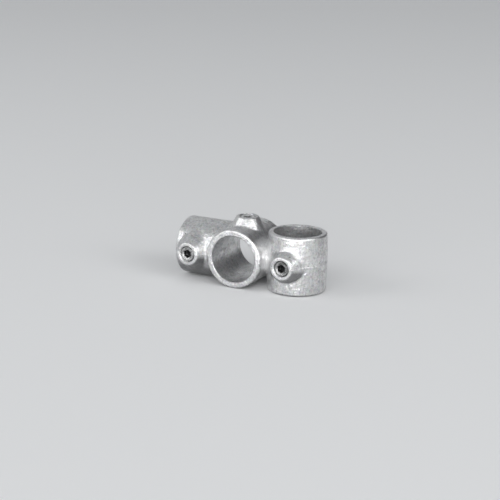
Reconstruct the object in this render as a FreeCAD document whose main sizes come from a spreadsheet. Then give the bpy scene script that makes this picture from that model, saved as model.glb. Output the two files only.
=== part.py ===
"""Tee cross clamp for round tube: one galvanised iron casting and three hex socket set screws.

The origin is the centre of the upright collar's bore, and +Z runs up that bore. The crossover
bore runs along Y beside it, and the blind tee socket opens towards -X beyond the crossover.
All three bores are centred on the parting plane z = 0. Sizes are in millimetres.
"""
import os

import FreeCAD, Part
import Sketcher
from FreeCAD import Placement, Rotation, Vector

# Driving dimensions. Each is written once, and every other size follows from them.

SIZES = {
    # Tube that the fitting grips, and the metal between the bores
    "tube_diameter": 48.3,
    "bore_clearance": 0.45,
    "bore_web": 8.4,
    "socket_depth": 38.5,
    "socket_floor": 6.2,
    # Collars round the bores. The upright one swells from its ends to the parting plane.
    "upright_wall": 6.5,
    "upright_length": 61.0,
    "upright_swell": 0.8,
    "crossover_wall": 6.2,
    "socket_step": 0.6,
    "crossover_lip": 2.3,
    # Blends and edges of the casting
    "rim_rounding": 2.0,
    "bore_chamfer": 0.8,
    "collar_blend": 4.0,
    "socket_blend": 2.0,
    "boss_blend": 2.5,
    # Bosses: a cone with a flat face on each collar. The half angle is taken at the bore's axis,
    # from the boss's own line to where its flank lands on the round of the collar.
    "boss_height": 8.4,
    "boss_face_radius": 11.8,
    "boss_half_angle": 40.6,
    "boss_rounding": 1.2,
    "countersink": 0.7,
    # Set screws, 3/8 inch pipe thread, modelled to the crest of the thread
    "thread_diameter": 16.66,
    "thread_clearance": 0.1,
    "screw_length": 13.5,
    "screw_tip_gap": 0.4,
    "screw_chamfer": 1.2,
    "hex_across_flats": 8.0,
    "hex_depth": 6.5,
    "cup_radius": 4.6,
    "cup_depth": 1.5,
}

# How close a spot must lie to a surface to count as on it
TOLERANCE = 0.02


def size(name):
    """Return the expression that reads one driving dimension from the sheet."""
    return "Sizes." + name


# Sizes that follow from the driving ones, as expressions of the document

BORE_RADIUS = "({} / 2 + {})".format(size("tube_diameter"), size("bore_clearance"))
UPRIGHT_RADIUS = "({} + {})".format(BORE_RADIUS, size("upright_wall"))
CROSSOVER_RADIUS = "({} + {})".format(BORE_RADIUS, size("crossover_wall"))
SOCKET_RADIUS = "({} - {})".format(CROSSOVER_RADIUS, size("socket_step"))
# The crossover collar stands a lip past the socket collar on each side.
CROSSOVER_LENGTH = "(2 * ({} + {}))".format(SOCKET_RADIUS, size("crossover_lip"))

# Places along X: axis of the crossover, floor and mouth of the socket, screw half way down it
CROSSOVER_X = "(-2 * {} - {})".format(BORE_RADIUS, size("bore_web"))
FLOOR_X = "({} - {} - {})".format(CROSSOVER_X, BORE_RADIUS, size("socket_floor"))
MOUTH_X = "({} - {})".format(FLOOR_X, size("socket_depth"))
SOCKET_SCREW_X = "({} + {} / 2)".format(MOUTH_X, size("socket_depth"))

# Distances from a bore's axis: tip of a screw at rest, face of a boss, the height at which its
# flank lands on the collar, and its buried root, which lies below that, outside the bore's top.
SCREW_TIP = "({} + {})".format(BORE_RADIUS, size("screw_tip_gap"))
BOSS_REACH = "({} + {})".format(UPRIGHT_RADIUS, size("boss_height"))
BOSS_FOOT = "({} * cos({} * 1deg))".format(UPRIGHT_RADIUS, size("boss_half_angle"))
BOSS_ROOT = "({} * cos({} * 1deg))".format(BORE_RADIUS, size("boss_half_angle"))

# Flank of a boss: how much it widens for each mm towards the bore, and its radius at the root
BOSS_FOOT_RADIUS = "({} * sin({} * 1deg))".format(UPRIGHT_RADIUS, size("boss_half_angle"))
BOSS_SLOPE = "(({} - {}) / ({} - {}))".format(
    BOSS_FOOT_RADIUS, size("boss_face_radius"), BOSS_REACH, BOSS_FOOT)
BOSS_ROOT_RADIUS = "({} + ({} - {}) * {})".format(
    size("boss_face_radius"), BOSS_REACH, BOSS_ROOT, BOSS_SLOPE)

SCREW_RADIUS = "({} / 2)".format(size("thread_diameter"))
HOLE_RADIUS = "({} + {})".format(SCREW_RADIUS, size("thread_clearance"))


class Line:
    """A directed line that collars, bosses and screws are measured from."""

    def __init__(self, base, direction):
        """Keep a point of the line and its unit direction."""
        self.base = base
        self.direction = direction

    def along(self, spot):
        """Return how far along the line a spot lies from the base."""
        return (spot - self.base).dot(self.direction)

    def away(self, spot):
        """Return the distance of a spot from the line."""
        return (spot - self.base - self.direction * self.along(spot)).Length


class Station:
    """Where a boss and its set screw stand: their name, place along X, and way out."""

    def __init__(self, name, offset, outwards):
        """Keep the name, the expression for X, and the unit direction out of the bore."""
        self.name = name
        self.offset = offset
        self.outwards = outwards

    @property
    def plane(self):
        """Return the origin plane whose vertical sketch axis runs along the boss."""
        return "XZ_Plane" if self.outwards.z else "XY_Plane"

    @property
    def sense(self):
        """Return 1 where the boss points up its sketch axis, and -1 where it points down."""
        return 1 if self.outwards.z + self.outwards.y > 0 else -1


STATIONS = (
    Station("upright", "0", Vector(0, -1, 0)),
    Station("crossover", CROSSOVER_X, Vector(0, 0, 1)),
    Station("socket", SOCKET_SCREW_X, Vector(0, -1, 0)),
)


def make_sheet(doc):
    """Put the driving dimensions in a spreadsheet, one alias to a row."""
    sheet = doc.addObject("Spreadsheet::Sheet", "Sizes")
    for row, (name, value) in enumerate(SIZES.items(), start=1):
        sheet.set("A{}".format(row), name)
        sheet.set("B{}".format(row), str(value))
        sheet.setAlias("B{}".format(row), name)
    doc.recompute()
    return sheet


def value_of(item, expression):
    """Work out an expression with the sizes in the item's document."""
    return float(item.Document.getObject("Sizes").evalExpression(expression))


# Sketches

def add_sketch(body, name, plane, **offset):
    """Attach an empty sketch to one of the body's origin planes, moved by expressions."""
    sketch = body.newObject("Sketcher::SketchObject", name)
    support = next(item for item in body.Origin.OriginFeatures if item.Role == plane)
    sketch.AttachmentSupport = (support, [""])
    sketch.MapMode = "FlatFace"
    for axis, expression in offset.items():
        sketch.setExpression("AttachmentOffset.Base." + axis, expression)
    return sketch


def bind(sketch, name, expression, kind, *where):
    """Add a dimension to a sketch and drive it by an expression."""
    index = sketch.addConstraint(Sketcher.Constraint(kind, *where, value_of(sketch, expression)))
    sketch.renameConstraint(index, name)
    sketch.setExpression("Constraints." + name, expression)


def circle_sketch(body, name, plane, radius, **offset):
    """Draw one circle about the sketch's own origin."""
    sketch = add_sketch(body, name, plane, **offset)
    sketch.addGeometry(Part.Circle(Vector(), Vector(0, 0, 1), value_of(sketch, radius)), False)
    sketch.addConstraint(Sketcher.Constraint("Coincident", 0, 3, -1, 1))
    bind(sketch, "radius", radius, "Radius", 0)
    return sketch


def outline_sketch(body, name, plane, corners, swollen=None, **offset):
    """Draw a closed outline through corners given as pairs of expressions.

    The side numbered swollen, if any, is an arc that swells towards +x by the upright swell.
    """
    sketch = add_sketch(body, name, plane, **offset)
    points = [Vector(value_of(sketch, x), value_of(sketch, y), 0) for x, y in corners]
    count = len(points)
    for index, start in enumerate(points):
        end = points[(index + 1) % count]
        if index == swollen:
            middle = (start + end) / 2 + Vector(value_of(sketch, size("upright_swell")), 0, 0)
            sketch.addGeometry(Part.Arc(start, middle, end), False)
        else:
            sketch.addGeometry(Part.LineSegment(start, end), False)
    for index in range(count):
        after = (index + 1) % count
        sketch.addConstraint(Sketcher.Constraint("Coincident", index, 2, after, 1))
    for index, (x, y) in enumerate(corners):
        bind(sketch, "x{}".format(index), x, "DistanceX", -1, 1, index, 1)
        bind(sketch, "y{}".format(index), y, "DistanceY", -1, 1, index, 1)
    return sketch


# Features of a body

def extrude(body, kind, name, sketch, length, both_ways=False, backwards=False):
    """Pad or pocket a sketch by a length, one way or half of it each way."""
    feature = body.newObject("PartDesign::" + kind, name)
    feature.Profile = sketch
    feature.SideType = "Symmetric" if both_ways else "One side"
    feature.Reversed = backwards
    feature.setExpression("Length", length)
    body.Document.recompute()
    return feature


def spin(body, kind, name, sketch):
    """Revolve or groove a sketch a full turn about its own vertical axis."""
    feature = body.newObject("PartDesign::" + kind, name)
    feature.Profile = sketch
    feature.ReferenceAxis = (sketch, ["V_Axis"])
    feature.Angle = 360
    body.Document.recompute()
    return feature


def dress(kind, name, dimension, base, *tests):
    """Fillet or chamfer the edges of a feature that pass every test."""
    feature = base.getParentGeoFeatureGroup().newObject("PartDesign::" + kind, name)
    feature.Base = (base, edges_where(base.Shape, *tests))
    feature.setExpression("Radius" if kind == "Fillet" else "Size", size(dimension))
    base.Document.recompute()
    return feature


def edges_where(shape, *tests):
    """Name the edges that pass every test at every spot sampled along them."""
    names = []
    for number, edge in enumerate(shape.Edges, start=1):
        first, last = edge.ParameterRange
        spots = [edge.valueAt(first + (last - first) * step / 10) for step in range(1, 10)]
        if all(test(spot) for test in tests for spot in spots):
            names.append("Edge{}".format(number))
    return names


def near(measure, target, slack=0.0):
    """Return a test that a spot's measure is the target, or less than it by up to the slack."""
    return lambda spot: -slack - TOLERANCE < measure(spot) - target < TOLERANCE


# The casting

def add_collars(body):
    """Model the three solid collars, their rims and the blends between them."""
    upright = Line(Vector(), Vector(0, 0, 1))
    crossover = Line(Vector(value_of(body, CROSSOVER_X), 0, 0), Vector(0, 1, 0))
    socket = Line(Vector(), Vector(-1, 0, 0))
    upright_radius = value_of(body, UPRIGHT_RADIUS)
    crossover_radius = value_of(body, CROSSOVER_RADIUS)
    socket_radius = value_of(body, SOCKET_RADIUS)
    swell = value_of(body, size("upright_swell"))
    rounding = value_of(body, size("rim_rounding"))

    half = "({} / 2)".format(size("upright_length"))
    end_radius = "({} - {})".format(UPRIGHT_RADIUS, size("upright_swell"))
    section = [("0", "-" + half), (end_radius, "-" + half), (end_radius, half), ("0", half)]
    sketch = outline_sketch(body, "upright_section", "XZ_Plane", section, swollen=1)
    arc_radius = "(({0} ^ 2 + {1} ^ 2) / (2 * {1}))".format(half, size("upright_swell"))
    bind(sketch, "swell_radius", arc_radius, "Radius", 1)
    collar = spin(body, "Revolution", "upright_collar", sketch)
    dress(
        "Fillet", "upright_rims", "rim_rounding", collar,
        near(lambda spot: abs(spot.z), value_of(body, half)),
        near(upright.away, upright_radius - swell))

    sketch = circle_sketch(body, "crossover_circle", "XZ_Plane", CROSSOVER_RADIUS, x=CROSSOVER_X)
    collar = extrude(body, "Pad", "crossover_collar", sketch, CROSSOVER_LENGTH, both_ways=True)
    rounded = dress(
        "Fillet", "crossover_rims", "rim_rounding", collar,
        near(lambda spot: abs(spot.y), value_of(body, CROSSOVER_LENGTH) / 2))
    dress(
        "Fillet", "collar_blends", "collar_blend", rounded,
        near(crossover.away, crossover_radius), near(upright.away, upright_radius, swell))

    sketch = circle_sketch(body, "socket_circle", "YZ_Plane", SOCKET_RADIUS, z=CROSSOVER_X)
    reach = "({} - {})".format(CROSSOVER_X, MOUTH_X)
    collar = extrude(body, "Pad", "socket_collar", sketch, reach, backwards=True)
    rounded = dress(
        "Fillet", "socket_rim", "rim_rounding", collar,
        near(lambda spot: -spot.x, -value_of(body, MOUTH_X)))
    dress(
        "Fillet", "socket_blends", "socket_blend", rounded,
        near(socket.away, socket_radius), near(crossover.away, crossover_radius, rounding),
        lambda spot: spot.x < crossover.base.x)


def add_boss(body, station):
    """Stand a boss on its collar: a cone with a flat face, a blended root and a soft rim."""
    rises = "" if station.sense > 0 else "-"
    section = [
        ("0", rises + BOSS_ROOT), (BOSS_ROOT_RADIUS, rises + BOSS_ROOT),
        (size("boss_face_radius"), rises + BOSS_REACH), ("0", rises + BOSS_REACH)]
    sketch = outline_sketch(
        body, station.name + "_boss_section", station.plane, section, x=station.offset)
    boss = spin(body, "Revolution", station.name + "_boss", sketch)

    line = Line(Vector(value_of(body, station.offset), 0, 0), station.outwards)
    reach = value_of(body, BOSS_REACH)
    root = value_of(body, BOSS_ROOT)
    collar_top = value_of(body, UPRIGHT_RADIUS)
    face_radius = value_of(body, size("boss_face_radius"))
    slope = value_of(body, BOSS_SLOPE)
    if station.name != "socket":
        boss = dress(
            "Fillet", station.name + "_boss_blend", "boss_blend", boss,
            near(lambda spot: line.away(spot) + slope * (line.along(spot) - reach), face_radius),
            lambda spot: root < line.along(spot) < collar_top + TOLERANCE)
    dress(
        "Fillet", station.name + "_boss_rim", "boss_rounding", boss,
        near(line.away, face_radius), near(line.along, reach))


def bore_out(body):
    """Face the socket's mouth, cut the three bores, and chamfer their five mouths."""
    wide = "(2 * {})".format(SOCKET_RADIUS)
    circle = circle_sketch(body, "facing_circle", "YZ_Plane", wide, z=MOUTH_X)
    extrude(body, "Pocket", "mouth_facing", circle, SOCKET_RADIUS)
    circle = circle_sketch(body, "upright_bore_circle", "XY_Plane", BORE_RADIUS)
    through = "(2 * {})".format(size("upright_length"))
    extrude(body, "Pocket", "upright_bore", circle, through, both_ways=True)
    circle = circle_sketch(body, "crossover_bore_circle", "XZ_Plane", BORE_RADIUS, x=CROSSOVER_X)
    through = "(2 * {})".format(CROSSOVER_LENGTH)
    extrude(body, "Pocket", "crossover_bore", circle, through, both_ways=True)
    circle = circle_sketch(body, "socket_bore_circle", "YZ_Plane", BORE_RADIUS, z=MOUTH_X)
    bored = extrude(body, "Pocket", "socket_bore", circle, size("socket_depth"), backwards=True)

    upright = Line(Vector(), Vector(0, 0, 1))
    crossover = Line(Vector(value_of(body, CROSSOVER_X), 0, 0), Vector(0, 1, 0))
    socket = Line(Vector(), Vector(-1, 0, 0))
    bore_radius = value_of(body, BORE_RADIUS)
    ends = (
        ("upright_mouths", upright, value_of(body, size("upright_length")) / 2),
        ("crossover_mouths", crossover, value_of(body, CROSSOVER_LENGTH) / 2),
        ("socket_mouth", socket, -value_of(body, MOUTH_X)))
    for name, line, end in ends:
        bored = dress(
            "Chamfer", name, "bore_chamfer", bored,
            near(line.away, bore_radius),
            near(lambda spot, line=line: abs(line.along(spot)), end))


def add_screw_hole(body, station):
    """Cut a screw hole from the bore out through its boss, with a countersunk mouth."""
    rises = "" if station.sense > 0 else "-"
    sink = "({} - {})".format(BOSS_REACH, size("countersink"))
    mouth_radius = "({} + {})".format(HOLE_RADIUS, size("countersink"))
    section = [
        ("0", rises + BOSS_ROOT), (HOLE_RADIUS, rises + BOSS_ROOT), (HOLE_RADIUS, rises + sink),
        (mouth_radius, rises + BOSS_REACH), ("0", rises + BOSS_REACH)]
    sketch = outline_sketch(
        body, station.name + "_hole_section", station.plane, section, x=station.offset)
    spin(body, "Groove", station.name + "_screw_hole", sketch)


def make_casting(doc):
    """Model the casting: collars, bosses, bores and screw holes."""
    body = doc.addObject("PartDesign::Body", "casting")
    add_collars(body)
    for station in STATIONS:
        add_boss(body, station)
    bore_out(body)
    for station in STATIONS:
        add_screw_hole(body, station)
    return body


# The set screws

def make_screw(doc, station):
    """Model a cup point set screw up its own +Z, and stand it in its hole near the bore."""
    body = doc.addObject("PartDesign::Body", "set_screw_" + station.name)
    length = size("screw_length")
    chamfer = size("screw_chamfer")
    end_radius = "({} - {})".format(SCREW_RADIUS, chamfer)
    section = [
        ("0", size("cup_depth")), (size("cup_radius"), "0"), (end_radius, "0"),
        (SCREW_RADIUS, chamfer), (SCREW_RADIUS, "({} - {})".format(length, chamfer)),
        (end_radius, length), ("0", length)]
    sketch = outline_sketch(body, body.Name + "_section", "XZ_Plane", section)
    spin(body, "Revolution", body.Name + "_shank", sketch)

    half_flat = "({} / 2)".format(size("hex_across_flats"))
    corner = "({} / sqrt(3))".format(size("hex_across_flats"))
    half_corner = "({} / 2)".format(corner)
    hexagon = [
        ("0", corner), ("-" + half_flat, half_corner), ("-" + half_flat, "-" + half_corner),
        ("0", "-" + corner), (half_flat, "-" + half_corner), (half_flat, half_corner)]
    sketch = outline_sketch(body, body.Name + "_hexagon", "XY_Plane", hexagon, z=length)
    extrude(body, "Pocket", body.Name + "_socket", sketch, size("hex_depth"))

    body.Placement = Placement(Vector(), Rotation(Vector(0, 0, 1), station.outwards))
    body.setExpression("Placement.Base.x", station.offset)
    for axis in "yz":
        outwards = getattr(station.outwards, axis)
        if outwards:
            body.setExpression("Placement.Base." + axis, "{} * {}".format(outwards, SCREW_TIP))
    return body


def check(doc, bodies):
    """Stop if any object failed to work out or any sub-part is not one valid solid."""
    doc.recompute()
    for item in doc.Objects:
        if "Invalid" in item.State or "Error" in item.State:
            raise RuntimeError("{} failed: {}".format(item.Label, item.State))
    for body in bodies:
        shape = body.Shape
        if shape.isNull() or not shape.isValid() or len(shape.Solids) != 1:
            raise RuntimeError("{} is not one valid solid".format(body.Label))


def main():
    """Build the document and write each sub-part to its STEP file."""
    doc = FreeCAD.newDocument("TeeCrossClamp")
    make_sheet(doc)
    bodies = [make_casting(doc)]
    bodies += [make_screw(doc, station) for station in STATIONS]
    check(doc, bodies)
    os.makedirs("parts", exist_ok=True)
    for body in bodies:
        body.Shape.exportStep("parts/{}.step".format(body.Label))
        print(body.Label, round(body.Shape.Volume, 1), "cubic mm")


main()
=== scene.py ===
"""Dressed model of a tee cross clamp: one galvanised iron casting and its three set screws.

The shapes are worked out in millimetres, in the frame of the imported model: the origin is the
centre of the upright collar's bore, +Z runs up that bore, the crossover bore runs along Y, and
the tee socket opens towards -X. Each finished mesh is brought to metres as its last step.
"""
from __future__ import annotations

import logging
import math
from collections.abc import Callable
from dataclasses import dataclass
from enum import Enum

import bmesh
import bpy
import numpy as np
from mathutils import Matrix, Vector, noise


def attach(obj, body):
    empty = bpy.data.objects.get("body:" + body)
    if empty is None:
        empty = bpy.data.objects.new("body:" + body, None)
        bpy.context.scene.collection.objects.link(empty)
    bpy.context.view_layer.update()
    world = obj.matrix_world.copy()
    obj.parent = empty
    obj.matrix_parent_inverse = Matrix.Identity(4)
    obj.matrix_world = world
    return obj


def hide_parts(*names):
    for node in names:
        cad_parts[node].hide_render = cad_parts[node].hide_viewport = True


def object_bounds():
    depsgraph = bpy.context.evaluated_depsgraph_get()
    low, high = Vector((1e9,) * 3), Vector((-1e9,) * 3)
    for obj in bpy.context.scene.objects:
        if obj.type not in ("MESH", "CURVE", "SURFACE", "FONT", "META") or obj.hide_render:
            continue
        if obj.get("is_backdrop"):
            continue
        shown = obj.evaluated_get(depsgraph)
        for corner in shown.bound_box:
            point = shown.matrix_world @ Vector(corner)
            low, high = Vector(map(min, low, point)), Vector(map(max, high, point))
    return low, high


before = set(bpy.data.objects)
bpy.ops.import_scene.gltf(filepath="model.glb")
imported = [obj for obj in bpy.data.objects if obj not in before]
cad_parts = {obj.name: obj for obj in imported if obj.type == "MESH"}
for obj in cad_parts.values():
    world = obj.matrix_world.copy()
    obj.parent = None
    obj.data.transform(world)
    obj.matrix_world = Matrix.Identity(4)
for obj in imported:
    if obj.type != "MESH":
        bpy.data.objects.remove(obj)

LOG = logging.getLogger("tee_cross_clamp")

METRES_PER_MM = 0.001
Outline = list[tuple[float, float]]


class Side(Enum):
    """The collar that a boss and its set screw stand on."""

    UPRIGHT = "upright"
    CROSSOVER = "crossover"
    SOCKET = "socket"


@dataclass(frozen=True)
class Place:
    """Where a turned shape stands: a point on its axis, and the way its own +Z points."""

    base: Vector
    way: Vector

    @classmethod
    def on_x(cls, x: float, way: tuple[float, float, float]) -> Place:
        """Return a place on the X axis, which every bore's axis crosses or follows."""
        return cls(Vector((x, 0, 0)), Vector(way))

    def matrix(self) -> Matrix:
        """Return the matrix that stands a shape made round +Z in this place."""
        turn = Vector((0, 0, 1)).rotation_difference(self.way)
        return Matrix.Translation(self.base) @ turn.to_matrix().to_4x4()


@dataclass(frozen=True)
class Sizes:
    """Sizes shared by the casting and the set screws, in millimetres."""

    bore_radius: float = 24.6
    crossover_x: float = -57.6
    floor_x: float = -88.4
    mouth_x: float = -126.9
    socket_screw_x: float = -107.65
    upright_radius: float = 31.1
    upright_half: float = 30.5
    upright_swell: float = 0.8
    crossover_radius: float = 30.8
    crossover_half: float = 32.5
    socket_radius: float = 30.2
    boss_reach: float = 39.5
    boss_face_radius: float = 11.8
    boss_half_angle: float = 40.6
    hole_radius: float = 8.43
    screw_radius: float = 8.33
    screw_tip: float = 25.0
    screw_length: float = 13.5
    thread_pitch: float = 1.337
    thread_depth: float = 0.856

    def boss_place(self, side: Side) -> Place:
        """Return the place of a boss: on its bore's axis, pointing out of the collar.

        Args:
            side: The collar that carries the boss.

        Returns:
            The place, with +Z out of the boss's face.
        """
        places = {
            Side.UPRIGHT: Place.on_x(0.0, (0, -1, 0)),
            Side.CROSSOVER: Place.on_x(self.crossover_x, (0, 0, 1)),
            Side.SOCKET: Place.on_x(self.socket_screw_x, (0, -1, 0)),
        }
        return places[side]


# Shapes made round +Z and helpers for meshes

def arc(
        centre: tuple[float, float], radius: float, start: float, end: float, steps: int
        ) -> Outline:
    """Return points along an arc of an outline.

    Args:
        centre: Its centre, as distance from the axis and height.
        radius: Its radius.
        start: The angle it starts at, in degrees from the outward direction.
        end: The angle it ends at.
        steps: How many steps it is cut into.

    Returns:
        The points, both ends with them.
    """
    turn = np.radians(np.linspace(start, end, steps + 1))
    return [(centre[0] + radius * math.cos(a), centre[1] + radius * math.sin(a)) for a in turn]


def line(start: tuple[float, float], end: tuple[float, float], step: float) -> Outline:
    """Return points along a straight run of an outline, without its last one.

    Args:
        start: Where the run starts, as distance from the axis and height.
        end: Where it ends.
        step: The longest step between two points.

    Returns:
        The points from the start, up to but not with the end.
    """
    count = max(1, math.ceil(math.dist(start, end) / step))
    shares = [index / count for index in range(count)]
    return [
        (start[0] + (end[0] - start[0]) * s, start[1] + (end[1] - start[1]) * s) for s in shares]


def spun(outline: Outline, segments: int) -> bmesh.types.BMesh:
    """Spin an outline a full turn about Z.

    Args:
        outline: Points as distance from the axis and height, from the lowest up.
        segments: How many steps the turn has.

    Returns:
        The closed shape, or an open one where the outline doesn't end on the axis.
    """
    shape = bmesh.new()
    corners = [shape.verts.new((radius, 0, height)) for radius, height in outline]
    edges = [shape.edges.new(pair) for pair in zip(corners, corners[1:])]
    bmesh.ops.spin(
        shape, geom=corners + edges, axis=(0, 0, 1), cent=(0, 0, 0), angle=math.tau,
        steps=segments, use_merge=True)
    bmesh.ops.remove_doubles(shape, verts=shape.verts, dist=1e-4)
    bmesh.ops.recalc_face_normals(shape, faces=shape.faces)
    return shape


def sliced(
        shape: bmesh.types.BMesh, spot: tuple[float, float, float],
        way: tuple[float, float, float], dist: float, drop: bool = True
        ) -> list[bmesh.types.BMEdge]:
    """Slice a shape along a plane.

    Args:
        shape: The shape to slice.
        spot: A point of the plane.
        way: The plane's normal.
        dist: How near a point must lie to the plane to count as on it.
        drop: Whether what lies beyond the plane is taken away.

    Returns:
        The edges that lie on the plane.
    """
    found = bmesh.ops.bisect_plane(
        shape, geom=shape.verts[:] + shape.edges[:] + shape.faces[:], dist=dist,
        plane_co=spot, plane_no=way, clear_outer=drop)["geom_cut"]
    return [item for item in found if isinstance(item, bmesh.types.BMEdge)]


def joined(shapes: list[tuple[bmesh.types.BMesh, Place]]) -> bpy.types.Mesh:
    """Stand shapes in their places and join them in one mesh, freeing each.

    Args:
        shapes: Each shape with its place.

    Returns:
        The mesh that holds them all, in millimetres.
    """
    whole = bmesh.new()
    for shape, place in shapes:
        bmesh.ops.transform(shape, matrix=place.matrix(), verts=shape.verts)
        part = bpy.data.meshes.new("part")
        shape.to_mesh(part)
        shape.free()
        whole.from_mesh(part)
        bpy.data.meshes.remove(part)
    mesh = bpy.data.meshes.new("joined")
    whole.to_mesh(mesh)
    whole.free()
    return mesh


def linked(name: str, data: bpy.types.ID) -> bpy.types.Object:
    """Make an object and link it to the scene.

    Args:
        name: Its name.
        data: Its mesh, lamp or camera.

    Returns:
        The object.
    """
    item = bpy.data.objects.new(name, data)
    bpy.context.scene.collection.objects.link(item)
    return item


def applied(mesh: bpy.types.Mesh, kind: str, **settings: object) -> bpy.types.Mesh:
    """Put one modifier on a mesh and apply it.

    Args:
        mesh: The mesh to change. It is removed.
        kind: The modifier's type.
        settings: The modifier's own settings.

    Returns:
        The changed mesh.
    """
    carrier = linked("carrier", mesh)
    modifier = carrier.modifiers.new("step", kind)
    for name, value in settings.items():
        setattr(modifier, name, value)
    bpy.context.view_layer.update()
    depsgraph = bpy.context.evaluated_depsgraph_get()
    changed = bpy.data.meshes.new_from_object(carrier.evaluated_get(depsgraph))
    bpy.data.objects.remove(carrier)
    bpy.data.meshes.remove(mesh)
    return changed


def cut(mesh: bpy.types.Mesh, tools: bpy.types.Mesh) -> bpy.types.Mesh:
    """Cut closed shapes out of a closed mesh.

    Args:
        mesh: The mesh to cut. It is removed.
        tools: The mesh of the shapes to take away. It is removed.

    Returns:
        The cut mesh.
    """
    cutter = linked("cutter", tools)
    changed = applied(mesh, "BOOLEAN", operation="DIFFERENCE", solver="MANIFOLD", object=cutter)
    bpy.data.objects.remove(cutter)
    bpy.data.meshes.remove(tools)
    return changed


@dataclass(frozen=True)
class Thread:
    """The helical ridge of a screw thread, round +Z."""

    root: float
    crest: float
    pitch: float
    steps: int = 60

    def section(self, low: float) -> Outline:
        """Return one ridge from root to root, with its rounded crest and straight flanks.

        Args:
            low: The height of its lower root.

        Returns:
            The points, lowest first.
        """
        rise = ((0.0, 0.0), (0.09, 0.1), (0.2, 0.42), (0.32, 0.8), (0.41, 0.96), (0.5, 1.0))
        shape = list(rise) + [(1 - along, share) for along, share in reversed(rise[:-1])]
        depth = self.crest - self.root
        return [(self.root + depth * share, low + self.pitch * along) for along, share in shape]

    def rod(self, low: float, high: float, limits: Callable[[float], tuple[float, float]]
            ) -> bmesh.types.BMesh:
        """Wind the ridge into a rod, trimmed to the limits and cut square at both ends.

        Args:
            low: The height of its lower end.
            high: The height of its upper end.
            limits: Gives the least and the greatest radius at a height.

        Returns:
            The rod's open-ended skin.
        """
        turns = math.ceil((high - low) / self.pitch) + 2
        rod = bmesh.new()
        start = low - 1.5 * self.pitch
        corners = [rod.verts.new((radius, 0, height)) for radius, height in self.section(start)]
        edges = [rod.edges.new(pair) for pair in zip(corners, corners[1:])]
        bmesh.ops.spin(
            rod, geom=corners + edges, axis=(0, 0, 1), cent=(0, 0, 0),
            dvec=(0, 0, self.pitch / self.steps), angle=math.tau, steps=self.steps,
            use_merge=False)
        first_turn = rod.verts[:] + rod.edges[:] + rod.faces[:]
        for turn in range(1, turns):
            grown = bmesh.ops.duplicate(rod, geom=first_turn)["geom"]
            copied = [item for item in grown if isinstance(item, bmesh.types.BMVert)]
            bmesh.ops.translate(rod, verts=copied, vec=(0, 0, self.pitch * turn))
        bmesh.ops.remove_doubles(rod, verts=rod.verts, dist=1e-4)
        for corner in rod.verts:
            radius = math.hypot(corner.co.x, corner.co.y)
            least, most = limits(min(max(corner.co.z, low), high))
            corner.co.xy *= min(max(radius, least), most) / radius
        for height, way in ((low, -1), (high, 1)):
            sliced(rod, (0, 0, height), (0, 0, way), dist=1e-5)
        return rod


def ring_at(shape: bmesh.types.BMesh, height: float) -> list[bmesh.types.BMEdge]:
    """Return the open edges of a shape that lie at a height.

    Args:
        shape: The shape to look in.
        height: The height of the ring.

    Returns:
        The ring's edges.
    """
    return [
        edge for edge in shape.edges
        if edge.is_boundary and all(abs(corner.co.z - height) < 1e-3 for corner in edge.verts)]


class MeshField:
    """The points of a mesh as one array, for moves that look at each point's neighbours."""

    NORMALS_EVERY = 5
    LEAST_PULL = 0.002

    def __init__(self, mesh: bpy.types.Mesh) -> None:
        """Read a mesh.

        Args:
            mesh: The mesh to read, and to write to later.
        """
        self.mesh = mesh
        count = len(mesh.vertices)
        self.points = np.empty(count * 3)
        mesh.vertices.foreach_get("co", self.points)
        self.points = self.points.reshape(-1, 3)
        ends = np.empty(len(mesh.edges) * 2, dtype=np.int64)
        mesh.edges.foreach_get("vertices", ends)
        self.near = ends.reshape(-1, 2)
        self.valence = np.bincount(ends, minlength=count)

    def write(self) -> None:
        """Give the moved points back to the mesh."""
        self.mesh.vertices.foreach_set("co", self.points.ravel())
        self.mesh.update()

    def normals(self) -> np.ndarray:
        """Return the normal at each point of the mesh as it was last written."""
        values = np.empty(len(self.points) * 3)
        self.mesh.vertex_normals.foreach_get("vector", values)
        return values.reshape(-1, 3)

    def mean_of_neighbours(self, values: np.ndarray) -> np.ndarray:
        """Average a value over each point's neighbours.

        Args:
            values: One number or one row for each point.

        Returns:
            The averages, in the same form.
        """
        first, second = self.near.T
        columns = values.reshape(len(self.points), -1).T
        sums = [
            np.bincount(first, column[second], len(self.points))
            + np.bincount(second, column[first], len(self.points)) for column in columns]
        return (np.stack(sums, axis=1) / self.valence[:, None]).reshape(values.shape)

    def smooth(self, rounds: int, share: float = 0.5) -> None:
        """Even out all points.

        Args:
            rounds: How many times.
            share: How far each point goes towards the middle of its neighbours.
        """
        for _ in range(rounds):
            self.points += share * (self.mean_of_neighbours(self.points) - self.points)
        self.write()

    def fill_hollows(self, rounds: int, where: np.ndarray, share: float = 0.5) -> None:
        """Round out hollow corners as metal does, and leave proud corners as they are.

        Args:
            rounds: How many times. More rounds make a wider fillet.
            where: For each point, whether it may move.
            share: How far a point goes towards the middle of its neighbours.
        """
        for step in range(rounds):
            if step % self.NORMALS_EVERY == 0:
                self.write()
                normals = self.normals()
            pull = self.mean_of_neighbours(self.points) - self.points
            hollow = where & (np.einsum("ij,ij->i", pull, normals) > self.LEAST_PULL)
            self.points[hollow] += share * pull[hollow]
        self.write()

    def bend(self) -> np.ndarray:
        """Return how proud (above 0) or hollow (below 0) the surface is at each point."""
        pull = self.mean_of_neighbours(self.points) - self.points
        amount = -np.einsum("ij,ij->i", pull, self.normals())
        for _ in range(2):
            amount = 0.5 * amount + 0.5 * self.mean_of_neighbours(amount)
        return amount


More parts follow.
